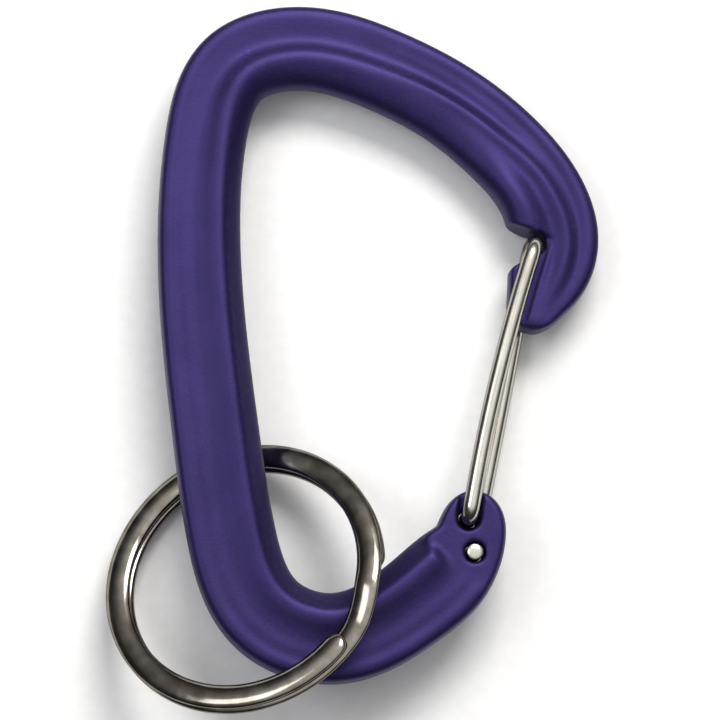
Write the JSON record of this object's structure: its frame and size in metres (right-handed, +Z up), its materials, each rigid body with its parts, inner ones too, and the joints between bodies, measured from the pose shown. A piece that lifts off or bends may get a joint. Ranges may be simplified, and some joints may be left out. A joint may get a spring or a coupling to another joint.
{
  "type": "wire-gate accessory carabiner with split ring",
  "caption": "Small pear-shaped wire-gate carabiner with a forged purple body, a sprung wire gate at its side and a split key ring round its lower bend.",
  "frame": {"origin": "on the surface that the carabiner lies on, under the centre of its outline", "axes": "+Y along the spine towards the wide basket, +X towards the gate, +Z up from the surface"},
  "size_m": [0.0426, 0.0616, 0.0135],
  "materials": {
    "anodised_body": "matt purple anodising over a bead-blasted hot forging",
    "gate_wire": "drawn stainless spring wire",
    "nickel_ring": "bright nickel plating on steel"
  },
  "bodies": {
    "body": {"forged_body": "anodised_body"},
    "near_gate_leg": {"gate_wire_near_leg": "gate_wire"},
    "far_gate_leg": {"gate_wire_far_leg": "gate_wire"},
    "key_ring": {"split_ring": "nickel_ring"}
  },
  "joints": [
    {"name": "gate_near_hinge", "type": "hinge", "parent": "body", "child": "near_gate_leg", "pos_m": [0.00989, -0.01403, 0.00524], "axis": [0.0781, 0.0676, 0.9946], "range_deg": [0, 60], "stiffness_Nm_per_rad": 0.04, "springref_deg": -57.3},
    {"name": "gate_far_hinge", "type": "hinge", "parent": "body", "child": "far_gate_leg", "pos_m": [0.01042, -0.01693, 0.00539], "axis": [0.0781, 0.0676, 0.9946], "range_deg": [0, 55]},
    {"name": "ring_swing", "type": "hinge", "parent": "body", "child": "key_ring", "pos_m": [-0.00996, -0.00875, 0.00199], "axis": [-0.9519, -0.179, -0.2486], "range_deg": [0, 85]}
  ],
  "couplings": [
    {"joint": "gate_far_hinge", "follows": "gate_near_hinge", "ratio": 0.9}
  ]
}
